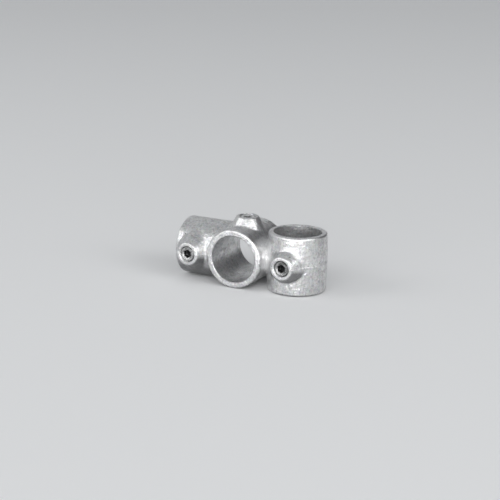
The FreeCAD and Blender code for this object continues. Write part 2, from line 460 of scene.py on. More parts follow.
def finished(
        mesh: bpy.types.Mesh, name: str, body: str,
        material: bpy.types.Material, sharp: float) -> bpy.types.Object:
    """Bring a mesh to metres, shade it, dress it, and let it ride on its body.

    Args:
        mesh: The mesh, in millimetres and in place.
        name: The piece's name.
        body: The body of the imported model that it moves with.
        material: Its finish.
        sharp: The angle in degrees past which an edge is sharp.

    Returns:
        The finished piece.
    """
    mesh.transform(Matrix.Scale(METRES_PER_MM, 4))
    mesh.name = name
    mesh.shade_smooth()
    mesh.set_sharp_from_angle(angle=math.radians(sharp))
    mesh.materials.clear()
    mesh.materials.append(material)
    piece = linked(name, mesh)
    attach(piece, body)
    LOG.info("%s: %d faces, rides on %s", name, len(mesh.polygons), body)
    return piece


# The casting

@dataclass(frozen=True)
class Drip:
    """A small lump where the zinc ran together and set, or a dent where the height is below 0."""

    spot: tuple[float, float, float]
    radius: float
    height: float


@dataclass
class Casting:
    """The galvanised iron casting: three collars, three coned bosses, bores and screw holes."""

    sizes: Sizes
    # The pattern's shape
    grain_size: float = 0.84
    rim_rounding: float = 2.0
    rim_steps: int = 6
    side_rows: int = 25
    boss_rounding: float = 0.8
    turn_steps: int = 180
    face_step: float = 2.5
    # The fillets, as rounds of filling, and where the fuller ones lie
    even_rounds: int = 2
    corner_rounds: int = 4
    run_out_rounds: int = 18
    run_out_edges: tuple[float, float] = (3.0, 30.0)
    run_out_low: float = 1.0
    waist_rounds: int = 26
    waist_inset: float = 8.0
    waist_end: float = -12.0
    waist_half: float = 27.0
    waist_front_rounds: int = 70
    waist_front_y: float = -8.0
    waist_front_low: float = -20.0
    # The skin's roughness, the parting line and the zinc on it
    lump_height: float = 0.18
    lumps_per_mm: float = 0.1
    ripple_height: float = 0.14
    ripples_per_mm: float = 0.27
    seam_height: float = 0.4
    seam_width: float = 1.0
    seam_low_share: float = 0.6
    seam_wave_share: float = 0.8
    seam_waves_per_mm: float = 0.15
    seam_fade: float = 12.0
    waist_x: float = -29.0
    run_height: float = 0.32
    run_reach: float = 9.0
    run_half: float = 24.0
    run_spacing: float = 4.4
    run_lean: float = 0.25
    run_wander: float = 2.0
    wanders_per_mm: float = 0.12
    # Where the zinc pooled in the waist: the galvanising paints a highlight there and leaves out
    # most pits
    pool_reach: float = 14.0
    pool_depth: float = 30.0
    pool_edge: float = 6.0
    pool_top: float = 25.0
    # Extra painted shade on the lower flanks of the side bosses; the settings down to face_lean
    # place it
    flank_painted_shade: float = 0.3
    flank_ramp: float = 0.25
    flank_radius: float = 21.0
    flank_root: float = 24.0
    face_lean: float = 0.75
    drips: tuple[Drip, ...] = (
        Drip((20.4, -23.5, -6.7), 1.2, 0.7),
        Drip((7.0, -30.3, 26.0), 1.3, -0.55),
        Drip((-29.5, 4.0, 24.0), 1.5, 0.5),
        Drip((-47.5, -12.0, 28.0), 1.3, 0.5),
        Drip((-88.0, 24.0, -17.0), 1.8, 0.6),
        Drip((12.0, 29.0, -22.0), 2.0, 0.5),
    )
    # The machining
    bore_chamfer: float = 0.8
    bore_step: float = 3.0
    bore_overcut: float = 3.0
    countersink: float = 0.7
    tap_steps: int = 48
    tap_depth: float = 6.0
    tap_overcut: float = 2.0

    def barrel(self, radius: float, half: float, swell: float = 0.0) -> bmesh.types.BMesh:
        """Make a solid collar round +Z with rounded rims.

        Args:
            radius: Its radius at half height.
            half: Half of its length.
            swell: How much larger it is at half height than at its ends.

        Returns:
            The closed shape.
        """
        end = radius - swell
        turn = self.rim_rounding
        side = [
            (radius - swell * (height / (half - turn)) ** 2, height)
            for height in np.linspace(turn - half, half - turn, self.side_rows)]
        outline = line((0.0, -half), (end - turn, -half), self.face_step)
        outline += arc((end - turn, turn - half), turn, -90, 0, self.rim_steps)[:-1]
        outline += side
        outline += arc((end - turn, half - turn), turn, 0, 90, self.rim_steps)[1:-1]
        outline += line((end - turn, half), (0.0, half), self.face_step) + [(0.0, half)]
        return spun(outline, self.turn_steps)

    def boss(self, side: Side) -> bmesh.types.BMesh:
        """Make a solid boss round +Z: a cone with a soft rim and a flat face.

        Args:
            side: The collar that carries it. On the socket it is cut off flush with the mouth.

        Returns:
            The closed shape.
        """
        sizes = self.sizes
        spread = math.radians(sizes.boss_half_angle)
        foot = (sizes.upright_radius * math.sin(spread), sizes.upright_radius * math.cos(spread))
        slope = (foot[0] - sizes.boss_face_radius) / (sizes.boss_reach - foot[1])
        root_height = sizes.bore_radius * math.cos(spread)
        root_radius = sizes.boss_face_radius + (sizes.boss_reach - root_height) * slope
        lean = math.degrees(math.atan(slope))
        turn = self.boss_rounding
        inset = turn * math.tan(math.radians((90 - lean) / 2))
        outline = [(0.0, root_height), (root_radius, root_height)]
        outline += arc(
            (sizes.boss_face_radius - inset, sizes.boss_reach - turn), turn, lean, 90,
            self.rim_steps)
        outline += [(0.0, sizes.boss_reach)]
        shape = spun(outline, self.turn_steps)
        if side is Side.SOCKET:
            mouth = sizes.mouth_x - sizes.socket_screw_x
            rim = sliced(shape, (mouth, 0, 0), (-1, 0, 0), dist=1e-4)
            bmesh.ops.edgeloop_fill(shape, edges=rim)
            bmesh.ops.recalc_face_normals(shape, faces=shape.faces)
        return shape

    def rough_form(self) -> bpy.types.Mesh:
        """Fuse the collars and bosses in one closed skin of small even faces."""
        sizes = self.sizes
        crossover = Place.on_x(sizes.crossover_x, (0, 1, 0))
        start = crossover.base.x
        socket_half = (start - sizes.mouth_x) / 2
        shapes = [
            (self.barrel(sizes.upright_radius, sizes.upright_half, sizes.upright_swell),
             Place.on_x(0.0, (0, 0, 1))),
            (self.barrel(sizes.crossover_radius, sizes.crossover_half), crossover),
            (self.barrel(sizes.socket_radius, socket_half),
             Place.on_x(start - socket_half, (-1, 0, 0))),
        ]
        shapes += [(self.boss(side), sizes.boss_place(side)) for side in Side]
        return applied(joined(shapes), "REMESH", mode="VOXEL", voxel_size=self.grain_size)

    def line_up_seam(self, mesh: bpy.types.Mesh) -> bpy.types.Mesh:
        """Cut rows of points along the parting line, so that its ridge comes out crisp.

        Args:
            mesh: The fused skin.

        Returns:
            The same mesh, with the rows in it.
        """
        whole = bmesh.new()
        whole.from_mesh(mesh)
        for row in (-2, -1, 0, 1, 2):
            height = row * self.seam_width / 2
            sliced(whole, (0, 0, height), (0, 0, 1), dist=0.05, drop=False)
        whole.to_mesh(mesh)
        whole.free()
        return mesh

    def soften(self, form: MeshField) -> None:
        """Blend the collars and the bosses' roots as the foundry's pattern does.

        Args:
            form: The fused skin.
        """
        form.smooth(self.even_rounds)
        x, y, z = form.points.T
        everywhere = np.ones(len(x), dtype=bool)
        form.fill_hollows(self.corner_rounds, everywhere)
        near, far = self.run_out_edges
        run_out = (x > near) & (x < far) & (y < 0) & (z > self.run_out_low)
        form.fill_hollows(self.run_out_rounds, run_out)
        start = self.sizes.crossover_x + self.waist_inset
        waist = (x > start) & (x < self.waist_end) & (np.abs(z) < self.waist_half)
        form.fill_hollows(self.waist_rounds, waist)
        front = waist & (y < self.waist_front_y) & (z > self.waist_front_low)
        form.fill_hollows(self.waist_front_rounds, front)

    def roughen(self, form: MeshField) -> None:
        """Give the skin its lumps, ripples, parting ridge and drips, and mark how it lies.

        The marks are read by the galvanising: how proud a point is, for rubbed edges with painted
        highlight and for painted shade in creases; how far it faces down, for painted shade; and
        where the zinc pooled in the waist, for painted highlight.

        Args:
            form: The softened skin.
        """
        normals = form.normals()
        heights = np.empty(len(form.points))
        for index, point in enumerate(form.points):
            spot = Vector(point)
            lump = noise.fractal(spot * self.lumps_per_mm, 1.0, 2.1, 2)
            ripple = noise.fractal(spot * self.ripples_per_mm + Vector((7, 3, 5)), 0.7, 2.2, 2)
            drips = sum(
                drip.height * math.exp(-((spot - Vector(drip.spot)).length / drip.radius) ** 2)
                for drip in self.drips)
            heights[index] = (
                self.lump_height * lump + self.ripple_height * ripple + self.seam(spot)
                + drips + self.runs(spot))
        form.points += normals * (heights - self.lump_height * 0.5)[:, None]
        form.write()
        x, y, z = form.points.T
        beside = np.clip(1 - np.abs(x - self.waist_x) / self.pool_reach, 0, 1)
        within = np.clip((self.pool_depth - np.abs(y)) / self.pool_edge, 0, 1)
        within *= np.clip((self.pool_top - z) / self.pool_edge, 0, 1)
        values_by_mark = {
            "proud": form.bend(),
            "under": self.undersides(form.points, normals),
            "pooled_painted_highlight": np.minimum(1, 2 * beside) * within,
        }
        for name, values in values_by_mark.items():
            marks = form.mesh.attributes.new(name, "FLOAT", "POINT")
            marks.data.foreach_set("value", values)

    def undersides(self, points: np.ndarray, normals: np.ndarray) -> np.ndarray:
        """Return how much painted shade each point gets: how far it faces down, and more on the
        lower flanks of the side bosses.

        Args:
            points: The skin's points, one row each.
            normals: Their normals.

        Returns:
            One number for each point: 1 is straight down.
        """
        sizes = self.sizes
        under = -normals[:, 2]
        for side in (Side.UPRIGHT, Side.SOCKET):
            place = sizes.boss_place(side)
            off = points - np.array(place.base)
            height = off @ np.array(place.way)
            radius = np.linalg.norm(off - height[:, None] * np.array(place.way), axis=1)
            flank = (radius > sizes.boss_face_radius - 1) & (radius < self.flank_radius)
            flank &= (height > self.flank_root) & (normals @ np.array(place.way) < self.face_lean)
            # Painted shade: the lower flanks of the side bosses are darkened more than their
            # facing alone gives
            added_shade = self.flank_painted_shade * np.clip(under / self.flank_ramp, 0, 1)
            under = np.where(flank, under + added_shade, under)
        return under

    def seam(self, spot: Vector) -> float:
        """Return how high the parting ridge stands: unevenly, and not in the waist.

        Args:
            spot: A point of the skin.

        Returns:
            The height, in millimetres.
        """
        ridge = max(0.0, 1 - abs(spot.z) / self.seam_width)
        waves = noise.noise(spot * self.seam_waves_per_mm)
        ridge *= self.seam_low_share + self.seam_wave_share * waves
        ridge *= min(1.0, abs(spot.x - self.waist_x) / self.seam_fade)
        return self.seam_height * ridge

    def runs(self, spot: Vector) -> float:
        """Return how high the zinc stands where it ran down the waist between the collars.

        Args:
            spot: A point of the skin.

        Returns:
            The height, in millimetres.
        """
        beside = max(0.0, 1 - abs(spot.x - self.waist_x) / self.run_reach)
        along = max(0.0, 1 - (spot.z / self.run_half) ** 2)
        wander = noise.noise(spot * self.wanders_per_mm) * self.run_wander
        across = spot.x + self.run_lean * spot.y + wander
        return self.run_height * beside * along * math.cos(across * math.tau / self.run_spacing)

    def bore(self, half: float, blind: bool = False) -> bmesh.types.BMesh:
        """Make the tool that cuts a bore: a core with a widened end for each mouth.

        Args:
            half: Half of the bore's length.
            blind: Whether it stops flat at its lower end.

        Returns:
            The closed shape, round +Z.
        """
        radius = self.sizes.bore_radius
        chamfer = self.bore_chamfer
        over = self.bore_overcut
        widest = radius + chamfer + over
        top = [(radius, half - chamfer), (widest, half + over), (0.0, half + over)]
        if blind:
            bottom = line((0.0, -half), (radius, -half), self.bore_step)
            low = -half
        else:
            bottom = [(0.0, -half - over), (widest, -half - over)]
            low = chamfer - half
        wall = line((radius, low), top[0], self.bore_step)
        return spun(bottom + wall + top, self.turn_steps)

    def screw_hole(self) -> bmesh.types.BMesh:
        """Make the tool that cuts a screw hole: a tap's thread and a countersunk mouth."""
        sizes = self.sizes
        widest = sizes.hole_radius + sizes.thread_depth
        sink = sizes.boss_reach - self.countersink

        def limits(height: float) -> tuple[float, float]:
            """Keep the tap inside the thread's crest, and widen it in the countersink."""
            opening = sizes.hole_radius + max(0.0, height - sink)
            return opening, max(widest, opening)

        tap = Thread(sizes.hole_radius, widest, sizes.thread_pitch, self.tap_steps)
        low = sizes.bore_radius - self.tap_depth
        high = sizes.boss_reach + self.tap_overcut
        tool = tap.rod(low, high, limits)
        for height in (low, high):
            bmesh.ops.edgeloop_fill(tool, edges=ring_at(tool, height))
        bmesh.ops.recalc_face_normals(tool, faces=tool.faces)
        return tool

    def skin(self) -> bpy.types.Mesh:
        """Make the whole casting's mesh, in millimetres."""
        sizes = self.sizes
        form = MeshField(self.line_up_seam(self.rough_form()))
        self.soften(form)
        self.roughen(form)
        socket_half = (sizes.floor_x - sizes.mouth_x) / 2
        bores = joined([
            (self.bore(sizes.upright_half), Place.on_x(0.0, (0, 0, 1))),
            (self.bore(sizes.crossover_half), Place.on_x(sizes.crossover_x, (0, 1, 0))),
            (self.bore(socket_half, blind=True),
             Place.on_x(sizes.floor_x - socket_half, (-1, 0, 0))),
        ])
        bored = cut(form.mesh, bores)
        holes = joined([(self.screw_hole(), sizes.boss_place(side)) for side in Side])
        return cut(bored, holes)

    def build(self, material: bpy.types.Material) -> bpy.types.Object:
        """Build the casting in place of its solid.

        Args:
            material: The galvanised finish.

        Returns:
            The piece.
        """
        piece = finished(
            self.skin(), "galvanised_casting", "casting", material, 32)
        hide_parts("casting")
        return piece


# The set screws

@dataclass
class SetScrew:
    """A cup point set screw with a pipe thread and a broached hexagon socket."""

    sizes: Sizes
    side: Side
    chamfer: float = 1.2
    flats: float = 8.0
    hex_depth: float = 6.5
    mouth_radius: float = 5.1
    mouth_lean: float = 0.6
    drill_radius: float = 3.75
    drill_depth: float = 7.8
    cup_radius: float = 4.6
    cup_depth: float = 1.5
    # Painted shade on the hexagon socket's walls, deepening towards its floor
    wall_recess_shade: float = 0.3
    wall_rows: tuple[float, ...] = (0.35, 1.0)
    ring_steps: int = 72

    def shank(self) -> bmesh.types.BMesh:
        """Make the threaded skin of the screw, open at both ends."""
        sizes = self.sizes
        length = sizes.screw_length
        end = sizes.screw_radius - self.chamfer

        def limits(height: float) -> tuple[float, float]:
            """Trim the thread to the chamfers at both ends."""
            return 0.0, min(sizes.screw_radius, end + min(height, length - height))

        ridge = Thread(
            sizes.screw_radius - sizes.thread_depth, sizes.screw_radius, sizes.thread_pitch)
        return ridge.rod(0.0, length, limits)

    def close_end(self, screw: bmesh.types.BMesh, height: float, radius: float
                  ) -> list[bmesh.types.BMEdge]:
        """Fill one end of the shank flat, round a circle.

        Args:
            screw: The screw so far.
            height: The height of the end.
            radius: The circle's radius.

        Returns:
            The circle's edges.
        """
        outer = ring_at(screw, height)
        circle = bmesh.ops.create_circle(
            screw, radius=radius, segments=self.ring_steps,
            matrix=Matrix.Translation((0, 0, height)))
        inner = list({edge for corner in circle["verts"] for edge in corner.link_edges})
        bmesh.ops.triangle_fill(
            screw, edges=outer + inner, normal=(0, 0, 1), use_beauty=True, use_dissolve=False)
        return inner

    def sink(self, screw: bmesh.types.BMesh, ring: list[bmesh.types.BMEdge],
             place: Callable[[Vector], Vector], recess_shade: float = 0.0) -> list[bmesh.types.BMEdge]:
        """Extrude a ring and move each new point.

        Args:
            screw: The screw so far.
            ring: The ring's edges.
            place: Gives a new point its place from its old one.
            recess_shade: How much painted shade darkens the metal there, standing in for the
                shade inside the socket.

        Returns:
            The new ring's edges.
        """
        layer = screw.verts.layers.float["recess_shade"]
        grown = bmesh.ops.extrude_edge_only(screw, edges=ring)["geom"]
        corners = {item for item in grown if isinstance(item, bmesh.types.BMVert)}
        for corner in corners:
            corner.co = place(corner.co)
            corner[layer] = recess_shade
        return [
            item for item in grown
            if isinstance(item, bmesh.types.BMEdge) and set(item.verts) <= corners]

    def hexagon_radius(self, spot: Vector) -> float:
        """Return how far the hexagon's wall lies from the axis in a spot's direction.

        Args:
            spot: A point round the axis.

        Returns:
            The distance, in millimetres.
        """
        sixth = math.pi / 3
        turn = (math.atan2(spot.y, spot.x) - math.pi / 2) % sixth - sixth / 2
        return self.flats / 2 / math.cos(turn)

    def make(self) -> bmesh.types.BMesh:
        """Make the whole screw round +Z, with its cup point at height 0."""
        length = self.sizes.screw_length
        screw = self.shank()
        screw.verts.layers.float.new("recess_shade")

        def scaled(spot: Vector, radius: float, height: float) -> Vector:
            """Return the point at a radius and height in a spot's direction."""
            return Vector((*(spot.xy.normalized() * radius), height))

        def scallop(spot: Vector) -> Vector:
            """Meet the hexagon's walls with the cone that opens the socket."""
            radius = self.hexagon_radius(spot)
            return scaled(spot, radius, length - (self.mouth_radius - radius) * self.mouth_lean)

        ring = self.close_end(screw, length, self.mouth_radius)
        ring = self.sink(screw, ring, scallop)
        # Painted shade darkens the socket's walls towards its floor, and its floor and drill
        # point fully
        floor = length - self.hex_depth
        for share in self.wall_rows:
            height = length + (floor - length) * share
            ring = self.sink(
                screw, ring, lambda spot, height=height: Vector((spot.x, spot.y, height)),
                self.wall_recess_shade * share)
        ring = self.sink(screw, ring, lambda spot: scaled(spot, self.drill_radius, floor), 1.0)
        bottom = length - self.drill_depth
        self.sink(screw, ring, lambda spot: Vector((0, 0, bottom)), 1.0)
        ring = self.close_end(screw, 0.0, self.cup_radius)
        self.sink(screw, ring, lambda spot: Vector((0, 0, self.cup_depth)))
        bmesh.ops.remove_doubles(screw, verts=screw.verts, dist=1e-4)
        bmesh.ops.recalc_face_normals(screw, faces=screw.faces)
        return screw

    def build(self, material: bpy.types.Material) -> bpy.types.Object:
        """Build the screw in place of its solid.

        Args:
            material: The zinc plated finish.

        Returns:
            The piece.
        """
        boss = self.sizes.boss_place(self.side)
        place = Place(boss.base + boss.way * self.sizes.screw_tip, boss.way)
        mesh = joined([(self.make(), place)])
        name = self.side.value
        piece = finished(mesh, f"{name}_set_screw", f"{name}_screw", material, 32)
        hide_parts(f"set_screw_{name}")
        return piece


# The finishes

class Recipe:
    """A node material in the making. Its patterns are laid out in millimetres."""

    def __init__(self, name: str) -> None:
        """Start a material with its shader and the piece's own coordinates.

        Args:
            name: The material's name.
        """
        self.material = bpy.data.materials.new(name)
        self.material.use_nodes = True
        self.tree = self.material.node_tree
        self.shader = self.tree.nodes["Principled BSDF"]
        spots = self.add("ShaderNodeTexCoord")
        scale = self.add("ShaderNodeMapping")
        scale.inputs["Scale"].default_value = (1 / METRES_PER_MM,) * 3
        self.tree.links.new(spots.outputs["Object"], scale.inputs["Vector"])
        self.spots = scale.outputs["Vector"]

    def add(self, kind: str, **inputs: object) -> bpy.types.Node:
        """Add a node, and give its inputs numbers, colours or links.

        Args:
            kind: The node's type.
            inputs: Values by the input's name, with _ for a space.

        Returns:
            The node.
        """
        node = self.tree.nodes.new(kind)
        for name, value in inputs.items():
            self.feed(node.inputs[name.replace("_", " ")], value)
        return node

    def feed(self, socket: bpy.types.NodeSocket, value: object) -> None:
        """Link or set one input.

        Args:
            socket: The input.
            value: An output to link, or the value to set.
        """
        if isinstance(value, bpy.types.NodeSocket):
            self.tree.links.new(value, socket)
        else:
            socket.default_value = value

    def speckle(self, per_mm: float, detail: float, rough: float = 0.5, warp: float = 0.0
                ) -> bpy.types.NodeSocket:
        """Return a soft random pattern.

        Args:
            per_mm: How many of its marks stand in a millimetre.
            detail: How many finer layers it has.
            rough: How strong the finer layers are.
            warp: How far it is distorted.

        Returns:
            The pattern, from 0 to 1.
        """
        node = self.add(
            "ShaderNodeTexNoise", Vector=self.spots, Scale=per_mm, Detail=detail, Roughness=rough,
            Distortion=warp)
        return node.outputs["Fac"]

    def crystals(self, per_mm: float) -> bpy.types.NodeSocket:
        """Return a pattern of cells, each of its own random colour.

        Args:
            per_mm: How many cells stand in a millimetre.

        Returns:
            The colours.
        """
        node = self.add("ShaderNodeTexVoronoi", Vector=self.spots, Scale=per_mm)
        return node.outputs["Color"]

    def pits(self, per_mm: float, largest: float = 0.13, bend_mm: float = 1.6
             ) -> bpy.types.NodeSocket:
        """Return a few small dark pits, far apart and of different sizes.

        Args:
            per_mm: How many would stand in a millimetre if none were left out.
            largest: The largest one's radius, as a share of their spacing.
            bend_mm: How far their outlines are bent, in millimetres.

        Returns:
            How much of a pit shows, from 0 to 1.
        """
        bent = self.add("ShaderNodeVectorMath")
        bent.operation = "SCALE"
        wave = self.add("ShaderNodeTexNoise", Vector=self.spots, Scale=0.6, Detail=2)
        self.feed(bent.inputs[0], wave.outputs["Color"])
        self.feed(bent.inputs["Scale"], bend_mm)
        moved = self.add("ShaderNodeVectorMath")
        self.feed(moved.inputs[0], self.spots)
        self.feed(moved.inputs[1], bent.outputs[0])
        cells = self.add("ShaderNodeTexVoronoi", Vector=moved.outputs[0], Scale=per_mm)
        size = self.add("ShaderNodeSeparateXYZ", Vector=cells.outputs["Color"])
        edge = self.spread(size.outputs["X"], 0.5, 1.0, 0.0, largest)
        return self.spread(self.sum_of(edge, cells.outputs["Distance"], "SUBTRACT"), 0.0, 0.04)

    def fettled(self, height: float) -> bpy.types.NodeSocket:
        """Return how much the grinding of the parting line shows: from 0 up to a height.

        Args:
            height: How far above the parting line it reaches, in millimetres.

        Returns:
            The share, from 0 to 1.
        """
        parts = self.add("ShaderNodeSeparateXYZ", Vector=self.spots)
        fade = self.spread(parts.outputs["Z"], height, 0.0)
        return self.times(fade, self.spread(parts.outputs["Z"], -0.3, 0.0))

    def stretched(self, turn: tuple[float, float, float], per_mm: tuple[float, float, float]
                  ) -> bpy.types.NodeSocket:
        """Return a random pattern that is drawn out along a direction.

        Args:
            turn: How the pattern is turned, in radians.
            per_mm: How many of its marks stand in a millimetre along each of its axes.

        Returns:
            The pattern, from 0 to 1.
        """
        lean = self.add("ShaderNodeMapping", Vector=self.spots, Rotation=turn, Scale=per_mm)
        node = self.add(
            "ShaderNodeTexNoise", Vector=lean.outputs["Vector"], Scale=1.0, Detail=3,
            Roughness=0.6)
        return node.outputs["Fac"]

    def scratches(self) -> bpy.types.NodeSocket:
        """Return long thin scratches that lean across the parting line."""
        return self.stretched((0.5, -0.4, 0.0), (0.12, 0.12, 1.6))

    def streaks(self) -> bpy.types.NodeSocket:
        """Return faint upright streaks, where the zinc drained."""
        return self.stretched((0.0, 0.0, 0.0), (0.7, 0.7, 0.09))

    def spread(self, value: object, low: float, high: float, to_low: float = 0.0,
               to_high: float = 1.0) -> bpy.types.NodeSocket:
        """Stretch the part of a pattern between two values over another range.

        Args:
            value: The pattern.
            low: The value that becomes to_low.
            high: The value that becomes to_high.
            to_low: The new low end.
            to_high: The new high end.

        Returns:
            The stretched pattern.
        """
        node = self.add("ShaderNodeMapRange")
        for socket, item in zip(node.inputs, (value, low, high, to_low, to_high)):
            self.feed(socket, item)
        return node.outputs[0]

    def sum_of(self, first: object, second: object, kind: str = "ADD") -> bpy.types.NodeSocket:
        """Return the sum, or another combination, of two patterns.

        Args:
            first: The first pattern or number.
            second: The second.
            kind: What to do with them.

        Returns:
            The result.
        """
        node = self.add("ShaderNodeMath")
        node.operation = kind
        self.feed(node.inputs[0], first)
        self.feed(node.inputs[1], second)
        return node.outputs[0]

    def times(self, first: object, second: object) -> bpy.types.NodeSocket:
        """Return the product of two patterns or numbers."""
        return self.sum_of(first, second, "MULTIPLY")

    def mix(self, share: object, first: object, second: object, kind: str = "MIX"
            ) -> bpy.types.NodeSocket:
        """Mix two colours.

        Args:
            share: How much of the second colour shows.
            first: The first colour.
            second: The second colour.
            kind: How they mix.

        Returns:
            The mixed colour.
        """
        node = self.add("ShaderNodeMixRGB", Fac=share, Color1=first, Color2=second)
        node.blend_type = kind
        return node.outputs["Color"]

    def relief(self, height: bpy.types.NodeSocket, strength: object, depth_mm: float,
               under: bpy.types.NodeSocket | None = None) -> bpy.types.NodeSocket:
        """Raise a pattern off the surface.

        Args:
            height: The pattern.
            strength: How strong it is, as a number or a pattern.
            depth_mm: How high it stands, in millimetres.
            under: The relief that it stands on.

        Returns:
            The changed normal.
        """
        node = self.add(
            "ShaderNodeBump", Height=height, Strength=strength, Distance=depth_mm * METRES_PER_MM)
        if under is not None:
            self.feed(node.inputs["Normal"], under)
        return node.outputs["Normal"]

    def metal(self, colour: bpy.types.NodeSocket, rough: bpy.types.NodeSocket,
              normal: bpy.types.NodeSocket) -> bpy.types.Material:
        """Complete the material as a metal.

        Args:
            colour: Its colour.
            rough: Its roughness.
            normal: Its relief.

        Returns:
            The material.
        """
        values = {"Base Color": colour, "Metallic": 1.0, "Roughness": rough, "Normal": normal}
        for name, value in values.items():
            self.feed(self.shader.inputs[name], value)
        return self.material

    def mark(self, name: str) -> bpy.types.NodeSocket:
        """Return a value that the piece's mesh carries for each of its points.

        Args:
            name: The attribute's name.

        Returns:
            The value.
        """
        node = self.add("ShaderNodeAttribute")
        node.attribute_name = name
        return node.outputs["Fac"]


Colour = tuple[float, float, float, float]


@dataclass(frozen=True)
class Galvanising:
    """Hot dip galvanising on cast iron: bright zinc, mottled, with a fine cast grain."""

    bright: Colour = (0.93, 0.93, 0.93, 1)
    dull: Colour = (0.43, 0.43, 0.435, 1)
    # The colour of the painted shade on surfaces that face down
    shaded: Colour = (0.16, 0.16, 0.165, 1)
    # The colour of the pits, and of the painted shade in hollow creases
    pit_and_crease_shade: Colour = (0.10, 0.10, 0.105, 1)
    # Its patterns: how fine each is, and how much it counts
    clouds_per_mm: float = 0.1
    cloud_share: float = 0.3
    mottles_per_mm: float = 0.4
    mottle_share: float = 0.5
    streak_share: float = 0.2
    crystals_per_mm: float = 0.45
    crystal_share: float = 0.1
    pits_per_mm: float = 0.12
    pit_share: float = 0.8
    # How far the skin faces down or bends where painted shade darkens it underneath and in
    # creases, and where its proud edges are rubbed and get painted highlight
    shaded_facing: tuple[float, float] = (0.15, 0.6)
    shaded_share: float = 0.8
    rubbed_and_highlight_bend: tuple[float, float] = (0.015, 0.08)
    crease_shade_bend: tuple[float, float] = (-0.05, -0.13)
    edge_share: float = 0.5
    # Its gloss and its relief
    dull_roughness: float = 0.48
    bright_roughness: float = 0.27
    edge_polish: float = -0.06
    peels_per_mm: float = 0.42
    peel_mm: float = 0.5
    grains_per_mm: float = 1.7
    grain_mm: float = 0.12
    scratch_mm: float = 0.6
    fettled_height: float = 6.0

    def shade(self, recipe: Recipe) -> bpy.types.NodeSocket:
        """Return how bright the zinc is by itself: clouds, mottling and drained streaks.

        Args:
            recipe: The material in the making.

        Returns:
            The pattern, from 0 for dull to 1 for bright.
        """
        clouds = recipe.spread(recipe.speckle(self.clouds_per_mm, 3, 0.6, 0.5), 0.4, 0.6)
        mottle = recipe.spread(recipe.speckle(self.mottles_per_mm, 5, 0.8, 0.4), 0.4, 0.6)
        streaks = recipe.spread(recipe.streaks(), 0.35, 0.65)
        shade = recipe.sum_of(
            recipe.times(clouds, self.cloud_share), recipe.times(mottle, self.mottle_share))
        return recipe.sum_of(shade, recipe.times(streaks, self.streak_share))

    def colour(self, recipe: Recipe, shade: bpy.types.NodeSocket, proud: bpy.types.NodeSocket
               ) -> bpy.types.NodeSocket:
        """Return the colour: painted shade underneath and in creases, and painted highlight where
        the zinc pooled in the waist and on proud edges, which are also rubbed.

        Args:
            recipe: The material in the making.
            shade: How bright the zinc is by itself.
            proud: How much an edge stands proud, for rubbed wear and painted highlight.

        Returns:
            The colour.
        """
        colour = recipe.mix(shade, self.dull, self.bright)
        spangle = recipe.crystals(self.crystals_per_mm)
        colour = recipe.mix(self.crystal_share, colour, spangle, "SOFT_LIGHT")
        # Painted shade: surfaces facing down, and the side bosses' lower flanks most, are
        # darkened
        under = recipe.spread(recipe.mark("under"), *self.shaded_facing, 0.0, self.shaded_share)
        colour = recipe.mix(under, colour, self.shaded)
        # Painted highlight: the waist where the zinc pooled is brightened along its runs,
        # standing in for its fillets' highlights
        runs = recipe.spread(recipe.streaks(), 0.4, 0.6, 0.5, 1.0)
        pooled_painted_highlight = recipe.times(recipe.mark("pooled_painted_highlight"), runs)
        colour = recipe.mix(pooled_painted_highlight, colour, self.bright)
        # Proud edges are brightened: partly rubbed wear, partly painted highlight
        colour = recipe.mix(recipe.times(proud, self.edge_share), colour, self.bright)
        bare = recipe.spread(pooled_painted_highlight, 0.0, 1.0, self.pit_share, 0.0)
        pitted = recipe.times(recipe.pits(self.pits_per_mm), bare)
        # Painted shade: hollow creases are darkened, and the pits too
        hollow = recipe.spread(recipe.mark("proud"), *self.crease_shade_bend)
        dark = recipe.sum_of(pitted, recipe.times(hollow, self.edge_share), "MAXIMUM")
        return recipe.mix(dark, colour, self.pit_and_crease_shade)

    def material(self) -> bpy.types.Material:
        """Return the node material."""
        recipe = Recipe("galvanised_iron")
        shade = self.shade(recipe)
        # Proud edges: rubbed wear and painted highlight in the colour, polish in the roughness
        proud = recipe.spread(recipe.mark("proud"), *self.rubbed_and_highlight_bend)
        rough = recipe.spread(shade, 0.0, 1.0, self.dull_roughness, self.bright_roughness)
        rough = recipe.sum_of(rough, recipe.times(proud, self.edge_polish))
        normal = recipe.relief(recipe.speckle(self.peels_per_mm, 3, 0.6), 0.7, self.peel_mm)
        grain = recipe.speckle(self.grains_per_mm, 3, 0.6)
        normal = recipe.relief(grain, 0.5, self.grain_mm, normal)
        ground = recipe.fettled(self.fettled_height)
        normal = recipe.relief(recipe.scratches(), ground, self.scratch_mm, normal)
        return recipe.metal(self.colour(recipe, shade, proud), rough, normal)


